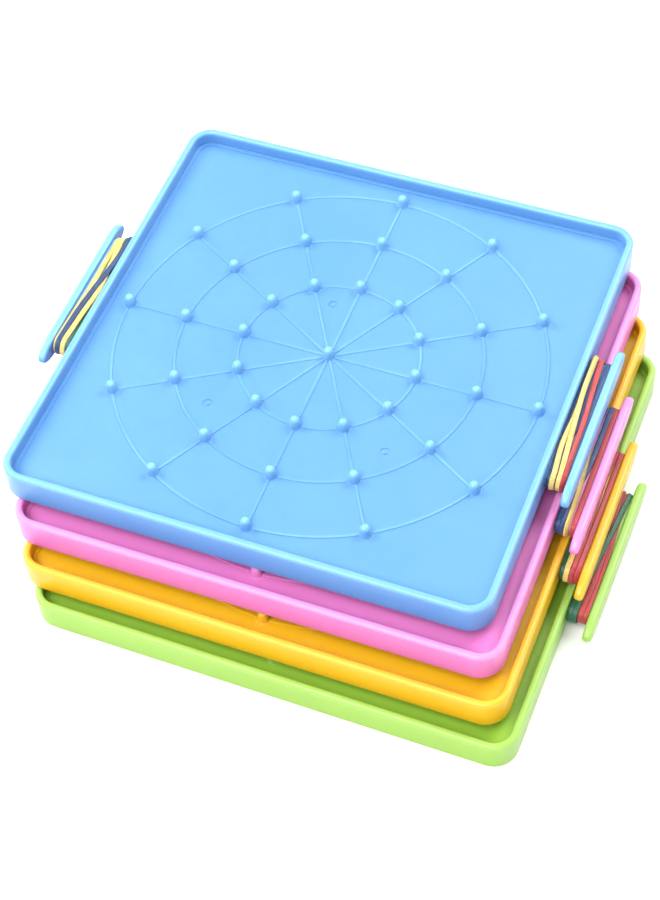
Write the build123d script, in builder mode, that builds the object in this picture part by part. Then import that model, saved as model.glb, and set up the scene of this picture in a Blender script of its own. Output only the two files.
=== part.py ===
from build123d import *

import os

# A staggered stack of double-sided plastic geoboards with rubber bands wound on their sides.
# Units are millimetres. +X is to the right, +Y to the back and +Z up. The origin is the middle
# of the stack's bounding box, on the surface that the lowest board rests on.

# Tray of one board
board_side = 200.0
board_height = 14.2
outer_corner_radius = 10.0
wall_thickness = 3.1
recess_depth = 6.2  # from the rim to the floor, the same on both faces
rim_radius = 1.3
foot_radius = 0.7
ledge_width = 1.6  # low step where the floor meets the wall
ledge_height = 0.55
inner_side = board_side - 2 * wall_thickness
inner_corner_radius = outer_corner_radius - wall_thickness
ledge_inside = inner_side - 2 * ledge_width
upper_floor = board_height - recess_depth
lower_floor = recess_depth

# Pegs: a ring array on the upper face and a square grid on the lower one
peg_height = 5.2
peg_foot_radius = 2.9
peg_foot_height = 0.6  # below this the foot flares into the floor
peg_root_radius = 2.4
peg_head_radius = 1.95
peg_shoulder = peg_height - peg_head_radius  # where the domed head starts
ring_radii = (88.0, 62.5, 37.0)
pegs_per_ring = 12
grid_count = 7
grid_pitch = inner_side / grid_count

# Raised guide lines and moulding marks on the upper floor
rib_width = 1.3
rib_height = 0.4
rib_taper = 30.0
mark_radius = 2.2
mark_depth = 0.3
nub_radius = 0.7
nub_height = 0.35
mark_spots = ((-37.0, -38.0), (38.0, -38.0), (-8.0, 26.0))

# Winder on each side: a flat stem with a longer flange at its end
stem_length = 62.0
stem_height = 5.5
stem_reach = 8.5  # from the wall to the flange
stem_root = 1.0  # how far the stem runs into the wall
flange_length = 79.0
flange_height = 8.6
flange_thickness = 3.5
flange_nose = 10.5  # length of the half-elliptical ends
flange_edge_radius = 1.2

# Rubber bands around each stem, side by side from the wall to the flange
bands_per_winder = 4
band_width = 1.8
band_thickness = 1.3
band_gap = (stem_reach - bands_per_winder * band_width) / (bands_per_winder + 1)

# The stack, from the bottom up. The top board's centre brings the bounding box's middle to the
# origin, and the others are offset from it and turned a little, as boards put down by hand.
top_centre_x = -10.115
top_centre_y = 14.19
boards = {
    "green": (19.9, -27.6, -0.5),
    "yellow": (13.2, -20.0, -0.15),
    "pink": (7.35, -9.8, 0.0),
    "blue": (0.0, 0.0, 0.0),
}
side_turns = {"left": 180, "right": 0}

# One peg, standing on the XY plane
with BuildPart() as peg:
    with BuildSketch(Plane.XZ):
        with BuildLine():
            Polyline((0, peg_height), (0, 0), (peg_foot_radius, 0))
            RadiusArc((peg_foot_radius, 0), (peg_root_radius, peg_foot_height), peg_foot_height)
            Line((peg_root_radius, peg_foot_height), (peg_head_radius, peg_shoulder))
            RadiusArc((peg_head_radius, peg_shoulder), (0, peg_height), -peg_head_radius)
        make_face()
    revolve(axis=Axis.Z)

# One right-hand winder, with the wall's outer face on the YZ plane
with BuildPart() as winder:
    with BuildSketch(Plane.YZ.offset(stem_reach)):
        Rectangle(flange_length - 2 * flange_nose, flange_height)
        with Locations((flange_length / 2 - flange_nose, 0), (flange_nose - flange_length / 2, 0)):
            Ellipse(flange_nose, flange_height / 2)
    extrude(amount=flange_thickness)
    fillet(edges().filter_by(Axis.X, reverse=True), flange_edge_radius)
    with BuildSketch(Plane.YZ.offset(-stem_root)):
        SlotOverall(stem_length, stem_height)
    extrude(amount=stem_root + stem_reach + flange_edge_radius)

# One board, centred on the Z axis and resting on the XY plane
with BuildPart() as geoboard:
    with BuildSketch():
        RectangleRounded(board_side, board_side, outer_corner_radius)
    extrude(amount=board_height)
    with BuildSketch(Plane.XY.offset(upper_floor), Plane.XY):
        RectangleRounded(inner_side, inner_side, inner_corner_radius)
    extrude(amount=recess_depth, mode=Mode.SUBTRACT)
    fillet(edges().group_by(Axis.Z)[-1], rim_radius)
    fillet(edges().group_by(Axis.Z)[0], foot_radius)

    # Ledge round the upper floor
    with BuildSketch(Plane.XY.offset(upper_floor)):
        RectangleRounded(inner_side, inner_side, inner_corner_radius)
        RectangleRounded(
            ledge_inside, ledge_inside, inner_corner_radius - ledge_width, mode=Mode.SUBTRACT
        )
    extrude(amount=ledge_height)

    # Guide lines: three rings, and a spoke to each peg of the outer ring
    with BuildSketch(Plane.XY.offset(upper_floor)):
        for radius in ring_radii:
            Circle(radius + rib_width / 2)
            Circle(radius - rib_width / 2, mode=Mode.SUBTRACT)
        with PolarLocations(0, pegs_per_ring):
            Rectangle(ring_radii[0], rib_width, align=(Align.MIN, Align.CENTER))
    extrude(amount=rib_height, taper=rib_taper)

    # Moulding marks: a shallow dish with a nub in its middle
    with BuildSketch(Plane.XY.offset(upper_floor)):
        with Locations(*mark_spots):
            Circle(mark_radius)
    extrude(amount=-mark_depth, mode=Mode.SUBTRACT)
    with BuildSketch(Plane.XY.offset(upper_floor - mark_depth)):
        with Locations(*mark_spots):
            Circle(nub_radius)
    extrude(amount=nub_height)

    for turn in side_turns.values():
        with Locations(Location((0, 0, board_height / 2), (0, 0, turn))):
            with Locations((board_side / 2, 0, 0)):
                add(winder.part)

    with Locations(Plane.XY.offset(upper_floor)):
        add(peg.part)
        for radius in ring_radii:
            with PolarLocations(radius, pegs_per_ring):
                add(peg.part)
    with Locations(Plane(origin=(0, 0, lower_floor), z_dir=(0, 0, -1))):
        with GridLocations(grid_pitch, grid_pitch, grid_count, grid_count):
            add(peg.part)

# One rubber band round a winder's stem, with its wall side on the YZ plane
with BuildPart() as band_ring:
    with BuildSketch(Plane.YZ):
        SlotOverall(stem_length + 2 * band_thickness, stem_height + 2 * band_thickness)
        SlotOverall(stem_length, stem_height, mode=Mode.SUBTRACT)
    extrude(amount=band_width)

os.makedirs("parts", exist_ok=True)

for level, (board_name, (offset_x, offset_y, turn)) in enumerate(boards.items()):
    centre = (top_centre_x + offset_x, top_centre_y + offset_y, level * board_height)
    board_place = Location(centre, (0, 0, turn))

    with BuildPart() as board:
        with Locations(board_place):
            add(geoboard.part)
    board.part.label = f"{board_name}_board"
    export_step(board.part, f"parts/{board.part.label}.step")

    for side_name, side_turn in side_turns.items():
        side_place = board_place * Location((0, 0, board_height / 2), (0, 0, side_turn))
        for number in range(bands_per_winder):
            reach = board_side / 2 + band_gap + number * (band_width + band_gap)
            with BuildPart() as band:
                with Locations(side_place * Location((reach, 0, 0))):
                    add(band_ring.part)
            band.part.label = f"{board_name}_{side_name}_band_{number + 1}"
            export_step(band.part, f"parts/{band.part.label}.step")
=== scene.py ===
import math
import random

import bpy
from mathutils import Matrix, Vector


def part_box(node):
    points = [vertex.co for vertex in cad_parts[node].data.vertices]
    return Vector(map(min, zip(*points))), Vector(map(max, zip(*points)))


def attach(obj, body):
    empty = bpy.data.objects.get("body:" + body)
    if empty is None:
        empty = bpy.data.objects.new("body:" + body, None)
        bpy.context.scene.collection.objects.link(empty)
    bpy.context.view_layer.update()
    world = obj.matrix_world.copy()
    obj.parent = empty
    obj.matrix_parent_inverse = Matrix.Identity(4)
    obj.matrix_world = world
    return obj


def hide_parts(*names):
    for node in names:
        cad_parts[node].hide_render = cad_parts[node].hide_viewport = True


# A staggered stack of plastic geoboards with rubber bands wound on their side winders.
# Everything is in metres, apart from the winders' own measures, which are in mm. The boards are
# the CAD nodes with better materials, and every band is a detailed mesh that replaces its plain
# CAD ring.

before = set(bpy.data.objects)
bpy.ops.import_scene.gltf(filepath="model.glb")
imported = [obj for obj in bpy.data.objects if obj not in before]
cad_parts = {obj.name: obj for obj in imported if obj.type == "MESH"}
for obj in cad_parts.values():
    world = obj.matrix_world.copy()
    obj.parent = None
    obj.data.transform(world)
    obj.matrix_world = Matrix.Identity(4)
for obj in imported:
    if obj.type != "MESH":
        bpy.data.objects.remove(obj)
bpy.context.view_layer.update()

MM = 0.001
UP = Vector((0, 0, 1))
SCENE = bpy.context.scene
BOARD_HEIGHT = 14.2 * MM
RECESS = 6.2 * MM  # depth of the tray on each face
PEG_AREA = 93 * MM  # half the width of the area with ribs and pegs
HALF_WALLS = 101 * MM  # just outside the walls, where the winders start
random.seed(7)


# ---------------------------------------------------------------- camera

def aim_camera():
    """Looks at the middle of the top board from the right front, with a slight roll."""
    azimuth, elevation, roll = math.radians(24.715), math.radians(53.184), math.radians(-4.670)
    distance = 808.2 * MM
    slide_right, slide_up = -0.63 * MM, 40.39 * MM
    below_rim = 1.76 * MM
    lo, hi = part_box("blue_board")
    target = Vector(((lo.x + hi.x) / 2, (lo.y + hi.y) / 2, hi.z - below_rim))
    back = Vector((
        math.sin(azimuth) * math.cos(elevation),
        -math.cos(azimuth) * math.cos(elevation),
        math.sin(elevation),
    ))
    level_right = (-back).cross(UP).normalized()
    level_up = level_right.cross(-back)
    right = math.cos(roll) * level_right + math.sin(roll) * level_up
    up = -math.sin(roll) * level_right + math.cos(roll) * level_up
    data = bpy.data.cameras.new("camera")
    data.sensor_width = 36
    data.lens = 80.68
    data.clip_start, data.clip_end = 0.05, 20
    camera = bpy.data.objects.new("camera", data)
    SCENE.collection.objects.link(camera)
    place = target + back * distance - right * slide_right - up * slide_up
    turn = Matrix((right, up, back)).transposed().to_4x4()
    camera.matrix_world = Matrix.Translation(place) @ turn
    SCENE.camera = camera


# ---------------------------------------------------------------- light and floor

STACK_MIDDLE = (0, 0, 0.04)
FLOOR_SIZE = 1.8
# The room is brightest level with the floor, which hides the floor's far edge, and dimmer above.
# CEILING_START is the height on a sphere of radius 1 from which it is evenly dim.
HORIZON_STRENGTH, CEILING_STRENGTH, CEILING_START = 1.3, 0.45, 0.5


def set_range(node, start, end, low, high):
    """Has a Map Range node go from low to high as its value goes from start to end."""
    numbers = {"From Min": start, "From Max": end, "To Min": low, "To Max": high}
    for name, number in numbers.items():
        node.inputs[name].default_value = number


def add_soft_box(name, place, size, power):
    """A square area light at place, pointing at the middle of the stack."""
    data = bpy.data.lights.new(name, "AREA")
    data.shape = "SQUARE"
    data.size = size
    data.energy = power
    lamp = bpy.data.objects.new(name, data)
    lamp.location = place
    aim = Vector(STACK_MIDDLE) - Vector(place)
    lamp.rotation_euler = aim.to_track_quat("-Z", "Y").to_euler()
    SCENE.collection.objects.link(lamp)


def light_studio():
    """A white room with soft boxes at the left, over the front and at the back right."""
    world = bpy.data.worlds.new("studio")
    SCENE.world = world
    world.use_nodes = True
    tree = world.node_tree
    sky = tree.nodes["Background"]
    sky.inputs["Color"].default_value = (1, 1, 1, 1)
    direction = tree.nodes.new("ShaderNodeTexCoord")
    axes = tree.nodes.new("ShaderNodeSeparateXYZ")
    fade = tree.nodes.new("ShaderNodeMapRange")
    set_range(fade, 0, CEILING_START, HORIZON_STRENGTH, CEILING_STRENGTH)
    tree.links.new(direction.outputs["Generated"], axes.inputs["Vector"])
    tree.links.new(axes.outputs["Z"], fade.inputs["Value"])
    tree.links.new(fade.outputs["Result"], sky.inputs["Strength"])
    add_soft_box("left", place=(-0.8, 0.1, 0.8), size=0.5, power=9.0)
    add_soft_box("front", place=(-0.15, -0.7, 1.15), size=0.9, power=23.0)
    add_soft_box("right", place=(0.42, 0.68, 0.9), size=0.6, power=12.0)
    SCENE.view_settings.view_transform = "Standard"


def lay_floor():
    """A plain pale table top under the stack."""
    bpy.ops.mesh.primitive_plane_add(size=FLOOR_SIZE, location=(0, 0, 0))
    floor = bpy.context.object
    floor.name = "floor"
    paper = bpy.data.materials.new("floor_paper")
    paper.use_nodes = True
    shader = paper.node_tree.nodes["Principled BSDF"]
    shader.inputs["Base Color"].default_value = (0.84, 0.84, 0.84, 1)
    shader.inputs["Roughness"].default_value = 0.9
    floor.data.materials.append(paper)


# ---------------------------------------------------------------- materials

def linear(red, green, blue):
    """The linear colour of an 8-bit sRGB one."""
    def one(value):
        part = value / 255
        return part / 12.92 if part <= 0.04045 else ((part + 0.055) / 1.055) ** 2.4
    return (one(red), one(green), one(blue), 1)


def linear_all(colours):
    """The linear colours of several 8-bit sRGB ones."""
    return tuple(linear(*colour) for colour in colours)


def scaled(colour, factor):
    """A colour made darker or lighter."""
    return (*(min(1, part * factor) for part in colour[:3]), 1)


class Nodes:
    """Short calls for wiring one material's node tree."""

    NEAR_FADE = 0.3 * MM  # how far the edge of a near() mask fades over
    # The Mix node repeats its socket names for each data type, so these are places, for colours.
    MIX_FACTOR, MIX_FIRST, MIX_SECOND, MIX_RESULT = 0, 6, 7, 2

    def __init__(self, name):
        self.material = bpy.data.materials.new(name)
        self.material.use_nodes = True
        self.tree = self.material.node_tree
        self.shader = self.tree.nodes["Principled BSDF"]
        self.coordinates = self.add("ShaderNodeTexCoord")
        self.place = self.coordinates.outputs["Object"]

    def add(self, kind, **settings):
        node = self.tree.nodes.new(kind)
        for name, value in settings.items():
            setattr(node, name, value)
        return node

    def link(self, start, end):
        self.tree.links.new(start, end)

    def feed(self, socket, value):
        """Links or sets an input socket, as value is a socket or a constant."""
        if isinstance(value, bpy.types.NodeSocket):
            self.link(value, socket)
        else:
            socket.default_value = value

    def axes(self):
        """The three object coordinates, in metres."""
        node = self.add("ShaderNodeSeparateXYZ")
        self.link(self.place, node.inputs["Vector"])
        return node.outputs[:3]

    def facing(self, axis):
        """How far the surface faces along one of the piece's own axes, from -1 to 1."""
        node = self.add("ShaderNodeSeparateXYZ")
        self.link(self.coordinates.outputs["Normal"], node.inputs["Vector"])
        return node.outputs[axis]

    def maths(self, operation, first, second=0):
        """One sum on one or two values, each a socket or a number."""
        node = self.add("ShaderNodeMath", operation=operation)
        self.feed(node.inputs[0], first)
        self.feed(node.inputs[1], second)
        return node.outputs[0]

    def near(self, value, middle, reach):
        """1 where value is within reach of middle, falling to 0 just outside."""
        gap = self.maths("ABSOLUTE", self.maths("SUBTRACT", value, middle))
        return self.spread(gap, 1, 0, start=reach, end=reach + self.NEAR_FADE)

    def stretched(self, scale):
        """Object coordinates with a scale for each axis."""
        mapping = self.add("ShaderNodeMapping")
        mapping.inputs["Scale"].default_value = scale
        self.link(self.place, mapping.inputs["Vector"])
        return mapping.outputs["Vector"]

    def noise(self, scale, detail=2.0, roughness=0.5, vector=None):
        node = self.add("ShaderNodeTexNoise")
        node.inputs["Scale"].default_value = scale
        node.inputs["Detail"].default_value = detail
        node.inputs["Roughness"].default_value = roughness
        self.link(vector or self.place, node.inputs["Vector"])
        return node.outputs["Fac"]

    def spread(self, value, low, high, start=0.3, end=0.7):
        """A number from low to high as value goes from start to end."""
        node = self.add("ShaderNodeMapRange")
        set_range(node, start, end, low, high)
        self.link(value, node.inputs["Value"])
        return node.outputs["Result"]

    def blend(self, factor, first, second):
        """A mix of two colours, each a socket or a constant."""
        node = self.add("ShaderNodeMix", data_type="RGBA")
        self.feed(node.inputs[self.MIX_FACTOR], factor)
        self.feed(node.inputs[self.MIX_FIRST], first)
        self.feed(node.inputs[self.MIX_SECOND], second)
        return node.outputs[self.MIX_RESULT]

    def bump(self, height, distance, strength=1.0, normal=None):
        """A normal bumped by height, on top of another bumped normal if there is one."""
        node = self.add("ShaderNodeBump")
        node.inputs["Strength"].default_value = strength
        node.inputs["Distance"].default_value = distance
        self.link(height, node.inputs["Height"])
        if normal:
            self.link(normal, node.inputs["Normal"])
        return node.outputs["Normal"]

    def set(self, **numbers):
        """Constants straight onto the shader, with underscores for spaces."""
        for name, number in numbers.items():
            self.shader.inputs[name.replace("_", " ")].default_value = number


# How much painted highlight, in the pale colour, each part of a board takes where it is
# strongest, and how much painted shade, in the deep colour, the bottom of the walls takes.
RIB_HIGHLIGHT, PEG_HIGHLIGHT, RIM_HIGHLIGHT, FLANGE_HIGHLIGHT = 0.3, 0.55, 0.42, 0.6
LOW_WALL_SHADE = 0.2


def moulded_plastic(name, colours, board):
    """Glossy injection-moulded polypropylene, with painted highlights on ribs, pegs and rims and
    painted shade low down.

    colours are the flat, deep and pale ones, and board is the CAD node that wears it.
    """
    flat, deep, pale = colours
    nodes = Nodes(name)
    lo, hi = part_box(board)
    top = hi.z
    middle = (lo + hi) / 2
    x, y, z = nodes.axes()

    # Ribs and pegs stand up from either floor: a rib gets a little painted highlight in patches,
    # and a peg more painted highlight the higher it gets.
    floor, ceiling = top - RECESS, top - BOARD_HEIGHT + RECESS
    above = nodes.maths("SUBTRACT", z, floor)
    below = nodes.maths("SUBTRACT", ceiling, z)
    height = nodes.maths("MAXIMUM", above, below)
    rib_highlight = nodes.spread(height, 0, RIB_HIGHLIGHT, start=0.12 * MM, end=0.4 * MM)
    patchy = nodes.spread(nodes.noise(scale=16, detail=1), 0, 1, start=0.4, end=0.62)
    peg_highlight = nodes.spread(height, 0, PEG_HIGHLIGHT, start=0.6 * MM, end=3.6 * MM)
    inside_x = nodes.near(x, middle.x, PEG_AREA)
    inside_y = nodes.near(y, middle.y, PEG_AREA)
    inside = nodes.maths("MULTIPLY", inside_x, inside_y)
    raised_highlight = nodes.maths("MAXIMUM", nodes.maths("MULTIPLY", rib_highlight, patchy), peg_highlight)
    raised_highlight = nodes.maths("MULTIPLY", raised_highlight, inside)

    # The rim has a painted highlight near its top, and so do the upward faces of the winders.
    round_trays = nodes.maths("SUBTRACT", 1.0, inside)
    rim_highlight = nodes.spread(z, 0, RIM_HIGHLIGHT, start=top - 2.6 * MM, end=top - 0.3 * MM)
    rim_highlight = nodes.maths("MULTIPLY", rim_highlight, round_trays)
    outside = nodes.maths("SUBTRACT", 1.0, nodes.near(x, middle.x, HALF_WALLS))
    upward_highlight = nodes.spread(nodes.facing("Z"), 0, FLANGE_HIGHLIGHT, start=0.3, end=0.9)
    flange_highlight = nodes.maths("MULTIPLY", outside, upward_highlight)

    # The plastic's own colour drifts, and painted shade makes it deeper low down on the walls.
    flow = nodes.noise(scale=14, detail=4, vector=nodes.stretched((1, 1, 3)))
    cloud = nodes.noise(scale=55, detail=3)
    tint = nodes.blend(nodes.spread(flow, 0, 0.3), flat, deep)
    tint = nodes.blend(nodes.spread(cloud, 0, 0.1), tint, scaled(flat, 1.08))
    # Painted shade: more of the deep colour low down on the walls.
    low = nodes.spread(z, LOW_WALL_SHADE, 0, start=top - BOARD_HEIGHT, end=top - 3 * MM)
    low = nodes.maths("MULTIPLY", low, round_trays)
    tint = nodes.blend(low, tint, deep)
    # Painted highlights: the pale colour laid on ribs, pegs, rims and the winders' upward faces.
    for mask in (raised_highlight, rim_highlight, flange_highlight):
        tint = nodes.blend(mask, tint, pale)
    nodes.link(tint, nodes.shader.inputs["Base Color"])

    polish = nodes.noise(scale=120, detail=3)
    nodes.link(nodes.spread(polish, 0.29, 0.38), nodes.shader.inputs["Roughness"])

    waves = nodes.noise(scale=35, detail=1)
    ripple = nodes.bump(waves, distance=0.12 * MM, strength=0.4)
    dimples = nodes.noise(scale=420, detail=1)
    peel = nodes.bump(dimples, distance=0.012 * MM, strength=0.3, normal=ripple)
    nodes.link(peel, nodes.shader.inputs["Normal"])
    nodes.set(IOR=1.49, Subsurface_Weight=0.6, Subsurface_Scale=4 * MM)
    nodes.set(Coat_Weight=0.05, Coat_Roughness=0.2)
    nodes.shader.inputs["Subsurface Radius"].default_value = (1.0, 0.8, 0.8)
    return nodes.material


def band_rubber(name, colours):
    """Cut latex strip: drawn lines along it, dusty talc patches and small specks.

    colours are the light and deep ones. Painted shade darkens it on the faces turned along the
    stack's X, which lie in the gaps between strands.
    """
    light, deep = colours
    # One darker colour serves both the small specks and the painted shade between strands.
    speck_and_side_shade = scaled(deep, 0.6)
    nodes = Nodes(name)
    along_strip = nodes.stretched((5200, 90, 5200))
    lines = nodes.noise(scale=1, detail=3, roughness=0.6, vector=along_strip)
    dust = nodes.noise(scale=420, detail=3)
    specks = nodes.noise(scale=3800, detail=1)
    tint = nodes.blend(nodes.spread(lines, 0, 1, start=0.35, end=0.65), deep, light)
    dusty = nodes.spread(dust, 0, 0.3, start=0.5, end=0.8)
    tint = nodes.blend(dusty, tint, scaled(light, 1.5))
    speckled = nodes.spread(specks, 0, 0.4, start=0.68, end=0.76)
    tint = nodes.blend(speckled, tint, speck_and_side_shade)
    # Painted shade on the faces turned along X, in the gaps between strands.
    shaded_side = nodes.maths("ABSOLUTE", nodes.facing("X"))
    tint = nodes.blend(nodes.spread(shaded_side, 0, 0.7, start=0.35, end=0.85), tint, speck_and_side_shade)
    nodes.link(tint, nodes.shader.inputs["Base Color"])
    nodes.link(nodes.spread(dust, 0.42, 0.62), nodes.shader.inputs["Roughness"])
    grain = nodes.bump(lines, distance=0.06 * MM, strength=0.7)
    pits = nodes.bump(specks, distance=0.03 * MM, strength=0.5, normal=grain)
    nodes.link(pits, nodes.shader.inputs["Normal"])
    nodes.set(IOR=1.52, Subsurface_Weight=0.1, Subsurface_Scale=0.8 * MM, Sheen_Weight=0.1)
    return nodes.material


# The flat, deep and pale sRGB colours of each board: the pale one is a painted highlight, and
# the deep one also paints shade low on the walls.
PLASTIC_COLOURS = {
    "blue": ((94, 146, 197), (73, 129, 196), (128, 184, 206)),
    "pink": ((212, 123, 186), (207, 90, 168), (220, 154, 201)),
    "yellow": ((217, 172, 28), (217, 154, 12), (222, 174, 54)),
    "green": ((141, 183, 62), (125, 170, 40), (154, 196, 113)),
}
# The light and deep sRGB colours of each band; a darker copy of the deep one is painted shade on
# the strands' sides.
RUBBER_COLOURS = {
    "yellow": ((228, 208, 126), (176, 138, 60)),
    "red": ((186, 62, 64), (120, 22, 24)),
    "blue": ((32, 74, 124), (10, 30, 70)),
    "green": ((34, 110, 78), (6, 50, 36)),
}


# ---------------------------------------------------------------- rubber bands, in mm

STEM_LENGTH = 62.0
STEM_HEIGHT = 5.5
FIRST_RING = 1.16  # from the wall to the middle of the nearest CAD ring
NEAREST_LANE = 1.1  # as near the wall as a strand's middle comes
LAST_LANE = 7.4  # as near the flange as a strand's middle comes
BAND_WIDTH = 2.2
BAND_THICKNESS = 0.85
SWAY = 0.2  # how far a run may bow aside from its lanes
OVERLAP_TO_CLIMB = 0.55  # share of its width that a strand overlaps by once it is on top
SOFTENINGS = 3
RUN_STEPS = 64
ARC_STEPS = 12
SECTION_STEPS = 14
# Powers below 1 square off the section's ellipse, across the strip and through it.
ACROSS_POWER, THROUGH_POWER = 0.45, 0.6

# How each winder is wound, from the lowest band to the highest: band number, colour, twists in
# degrees at the front and back ends, then one entry for each turn round the stem: its lanes in
# mm out from the wall, at even steps from the front end to the back one.
WINDINGS = {
    ("blue", "right"): (
        (
            4, "blue", 0, 0,
            (1.7, 1.4, 1.3, 1.3, 1.2), (4.0, 3.4, 4.9, 4.0, 3.3), (7.4, 7.4, 7.4, 7.4, 7.3),
        ),
        (1, "yellow", 10, 20, (3.1, 2.0, 2.7, 2.3, 1.9)),
        (3, "red", 30, 0, (7.3, 7.0, 6.7, 5.6, 4.7)),
        (2, "yellow", 0, 30, (5.6, 4.5, 3.4, 2.4, 2.2)),
    ),
    ("blue", "left"): (
        (1, "green", 0, 20, (1.2, 1.3, 1.3, 1.2, 1.2), (4.6, 3.6, 3.0, 2.8, 2.4)),
        (3, "yellow", 30, 0, (7.3, 6.9, 6.2, 6.3, 6.3)),
        (2, "yellow", 10, 0, (4.0, 3.0, 1.8, 2.9, 4.2)),
        (4, "blue", 20, 30, (6.2, 5.2, 3.4, 1.5, 1.2)),
    ),
    ("pink", "right"): (
        (4, "red", 0, 0, (7.4, 7.4, 7.4, 7.3, 7.2)),
        (1, "blue", 0, 20, (1.3, 1.3, 1.5, 2.2, 2.8)),
        (3, "blue", 20, 0, (3.2, 3.6, 5.2, 5.4, 5.4)),
        (2, "yellow", 40, 20, (5.0, 4.7, 3.6, 2.2, 1.3)),
    ),
    ("pink", "left"): (
        (1, "red", 10, 0, (2.9, 2.4, 1.3), (4.4, 4.2, 3.6)),
        (2, "yellow", 0, 30, (1.2, 2.6, 3.4)),
        (3, "green", 0, 0, (7.2, 6.0, 5.4)),
        (4, "blue", 40, 10, (5.0, 6.4, 7.3)),
    ),
    ("yellow", "right"): (
        (1, "green", 0, 0, (1.3, 1.4, 1.3), (3.6, 3.0, 2.6)),
        (4, "yellow", 10, 50, (5.9, 6.4, 6.9, 6.3, 5.6)),
        (2, "yellow", 0, 10, (3.1, 3.6, 3.4)),
        (3, "red", 20, 0, (7.3, 7.3, 7.3), (5.3, 5.2, 4.9, 4.6, 5.2)),
    ),
    ("yellow", "left"): (
        (1, "blue", 0, 0, (3.2, 1.9, 1.2)),
        (2, "red", 0, 20, (1.3, 2.6, 3.3)),
        (3, "yellow", 60, 0, (5.3, 5.2, 5.6)),
        (4, "green", 10, 0, (7.3, 7.0, 7.2), (5.9, 5.4, 4.8)),
    ),
    ("green", "right"): (
        (1, "yellow", 0, 0, (2.6, 3.2, 3.6)),
        (4, "red", 0, 0, (7.3, 7.4, 7.2, 6.4, 5.6), (5.4, 5.8, 5.6, 4.8, 4.0)),
        (2, "green", 0, 10, (1.4, 1.8, 2.6, 2.4, 2.2)),
        (3, "green", 0, 20, (3.1, 4.0, 5.2, 6.4, 7.3)),
    ),
    ("green", "left"): (
        (1, "yellow", 20, 0, (1.4, 1.8, 1.2)),
        (2, "red", 0, 0, (3.3, 4.2, 5.2)),
        (3, "green", 0, 30, (5.4, 5.0, 3.4), (2.3, 2.6, 2.4)),
        (4, "blue", 0, 0, (7.2, 7.4, 7.3)),
    ),
}


def taut(heights):
    """The heights of a string pulled tight over the given ones, with its ends held."""
    hull = []
    for point in enumerate(heights):
        while len(hull) > 1:
            (x0, z0), (x1, z1) = hull[-2:]
            if (z1 - z0) * (point[0] - x0) > (point[1] - z0) * (x1 - x0):
                break
            hull.pop()
        hull.append(point)
    tight = []
    for (x0, z0), (x1, z1) in zip(hull, hull[1:]):
        tight += [z0 + (z1 - z0) * (x - x0) / (x1 - x0) for x in range(x0, x1)]
    return tight + [heights[-1]]


def softened(values, times):
    """Values with their corners rounded, and the two ends kept."""
    for _ in range(times):
        middle = [(a + 2 * b + c) / 4 for a, b, c in zip(values, values[1:], values[2:])]
        values = [values[0], *middle, values[-1]]
    return values


def smooth(part):
    """A part from 0 to 1, eased at both ends."""
    return part * part * (3 - 2 * part)


def run_lanes(stations, sway):
    """Lanes of a run from the front end to the back one, smooth through even stations."""
    ends = [2 * stations[0] - stations[1], *stations, 2 * stations[-1] - stations[-2]]
    lanes = []
    for step in range(RUN_STEPS + 1):
        part = step / RUN_STEPS
        place = part * (len(stations) - 1)
        index = min(int(place), len(stations) - 2)
        t = place - index
        before, start, end, after = ends[index:index + 4]
        bend = 2 * before - 5 * start + 4 * end - after
        cubic = 3 * start - 3 * end + after - before
        lane = start + 0.5 * t * (end - before + t * (bend + t * cubic))
        lane += sway * math.sin(math.pi * part)
        lanes.append(min(LAST_LANE, max(NEAREST_LANE, lane)))
    return lanes


def rest_heights(lanes, below):
    """How high a run lies over the runs already wound, as a string pulled tight."""
    climb = OVERLAP_TO_CLIMB * BAND_WIDTH
    heights = []
    for step, lane in enumerate(lanes):
        height = 0.0
        for other_lanes, other_heights in below:
            gap = abs(lane - other_lanes[step])
            cover = min(1, max(0, (BAND_WIDTH - gap) / climb))
            height = max(height, smooth(cover) * (other_heights[step] + BAND_THICKNESS))
        heights.append(height)
    return softened(taut(heights), SOFTENINGS)


def loop_points(turns, front_twist, back_twist):
    """Centre line of one band, (out, along, up, twist) in mm and radians, through all its turns.

    A turn is a run over the stem and a run under it, each as (lanes, heights).
    """
    straight = (STEM_LENGTH - STEM_HEIGHT) / 2
    radius = (STEM_HEIGHT + BAND_THICKNESS) / 2
    points = []

    def add_run(run, direction):
        lanes, heights = run
        steps = range(RUN_STEPS + 1) if direction > 0 else range(RUN_STEPS, -1, -1)
        for step in steps:
            part = step / RUN_STEPS
            twist = math.radians(front_twist + (back_twist - front_twist) * part)
            along = straight * (2 * part - 1)
            points.append((lanes[step], along, direction * (radius + heights[step]), twist))

    def add_arc(side, start, end, twist):
        for step in range(1, ARC_STEPS):
            part = step / ARC_STEPS
            lane, height = (start[i] + (end[i] - start[i]) * part for i in (0, 1))
            reach = radius + height
            along = side * (straight + reach * math.sin(math.pi * part))
            up = side * reach * math.cos(math.pi * part)
            points.append((lane, along, up, math.radians(twist)))

    for index, (top, bottom) in enumerate(turns):
        after = turns[(index + 1) % len(turns)][0]
        add_run(top, 1)
        add_arc(1, (top[0][-1], top[1][-1]), (bottom[0][-1], bottom[1][-1]), back_twist)
        add_run(bottom, -1)
        add_arc(-1, (bottom[0][0], bottom[1][0]), (after[0][0], after[1][0]), front_twist)
    return points


def section_points():
    """The band's cross-section as (across, through) in mm: a flat strip with rounded edges."""
    corners = []
    for step in range(SECTION_STEPS):
        angle = 2 * math.pi * step / SECTION_STEPS
        across, through = math.cos(angle), math.sin(angle)
        across = math.copysign(abs(across) ** ACROSS_POWER, across)
        through = math.copysign(abs(through) ** THROUGH_POWER, through)
        corners.append((across * BAND_WIDTH / 2, through * BAND_THICKNESS / 2))
    return corners


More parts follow.
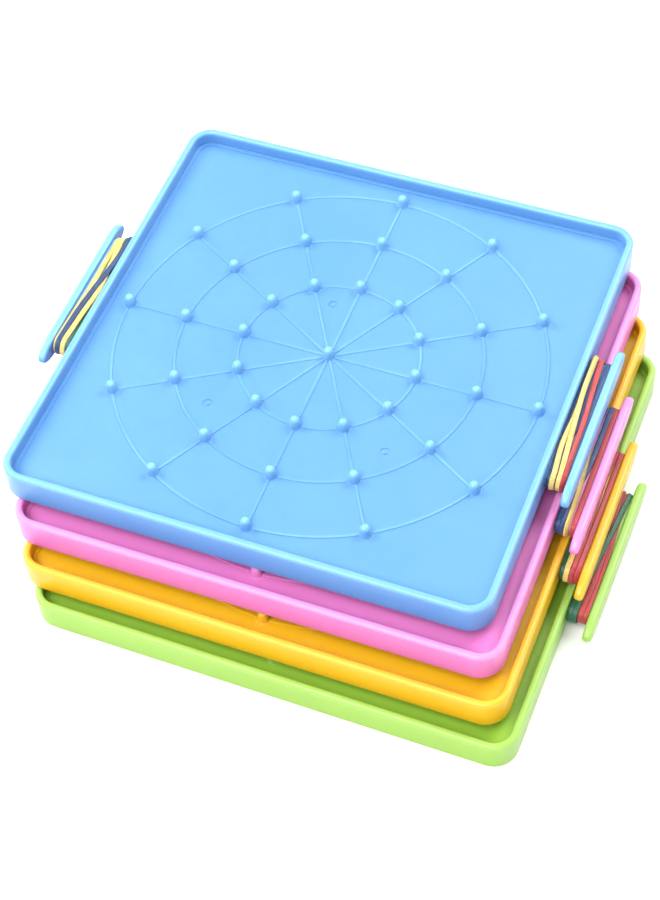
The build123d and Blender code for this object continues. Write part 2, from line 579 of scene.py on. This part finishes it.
def sweep_band(name, points, section, origin, axes, material):
    """A closed strip along points given in a winder's own axes (out, along, up)."""
    out, along, up = axes
    places = [origin + (out * p[0] + along * p[1] + up * p[2]) * MM for p in points]
    count = len(points)
    verts = []
    for index, place in enumerate(places):
        tangent = (places[(index + 1) % count] - places[index - 1]).normalized()
        outward = tangent.cross(out).normalized()
        flat = outward.cross(tangent).normalized()
        twist = points[index][3]
        across = flat * math.cos(twist) + outward * math.sin(twist)
        through = outward * math.cos(twist) - flat * math.sin(twist)
        verts += [place + (across * a + through * t) * MM for a, t in section]
    size = len(section)
    faces = []
    for ring in range(count):
        after = (ring + 1) % count
        for corner in range(size):
            beside = (corner + 1) % size
            faces.append((
                ring * size + corner,
                ring * size + beside,
                after * size + beside,
                after * size + corner,
            ))
    mesh = bpy.data.meshes.new(name)
    mesh.from_pydata(verts, [], faces)
    mesh.validate()
    mesh.shade_smooth()
    mesh.materials.append(material)
    band = bpy.data.objects.new(name, mesh)
    SCENE.collection.objects.link(band)
    return band


def box_middle(node):
    """The middle of a CAD node's box."""
    lo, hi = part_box(node)
    return (lo + hi) / 2


def wind_bands(board_name, side_name, rubbers, section):
    """Winds the four bands of one winder, each over the ones before it."""
    first, last = (box_middle(f"{board_name}_{side_name}_band_{n}") for n in (1, 4))
    out = (last - first).normalized()
    back = UP.cross(out) if side_name == "right" else out.cross(UP)
    origin = first - out * FIRST_RING * MM
    under_top, under_bottom = [], []
    for number, colour, front_twist, back_twist, *paths in WINDINGS[board_name, side_name]:
        turns = []
        for index, path in enumerate(paths):
            # Under the stem a turn crosses over to where the next one starts.
            next_path = paths[(index + 1) % len(paths)]
            return_path = (next_path[0], path[-1])
            turn = []
            for below, stations in ((under_top, path), (under_bottom, return_path)):
                lanes = run_lanes(stations, random.uniform(-SWAY, SWAY))
                run = (lanes, rest_heights(lanes, below))
                below.append(run)
                turn.append(run)
            turns.append(turn)
        points = loop_points(turns, front_twist, back_twist)
        name = f"{board_name}_{side_name}_rubber_{number}"
        band = sweep_band(name, points, section, origin, (out, back, UP), rubbers[colour])
        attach(band, f"{board_name}_body")
        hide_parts(f"{board_name}_{side_name}_band_{number}")


# ---------------------------------------------------------------- the scene

aim_camera()
light_studio()
lay_floor()
for board_name, colours in PLASTIC_COLOURS.items():
    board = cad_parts[f"{board_name}_board"]
    board.data.materials.clear()
    board.data.materials.append(
        moulded_plastic(f"{board_name}_moulded", linear_all(colours), f"{board_name}_board")
    )
rubbers = {
    name: band_rubber(f"{name}_latex", linear_all(colours))
    for name, colours in RUBBER_COLOURS.items()
}
strip = section_points()
for board_name, side_name in WINDINGS:
    wind_bands(board_name, side_name, rubbers, strip)
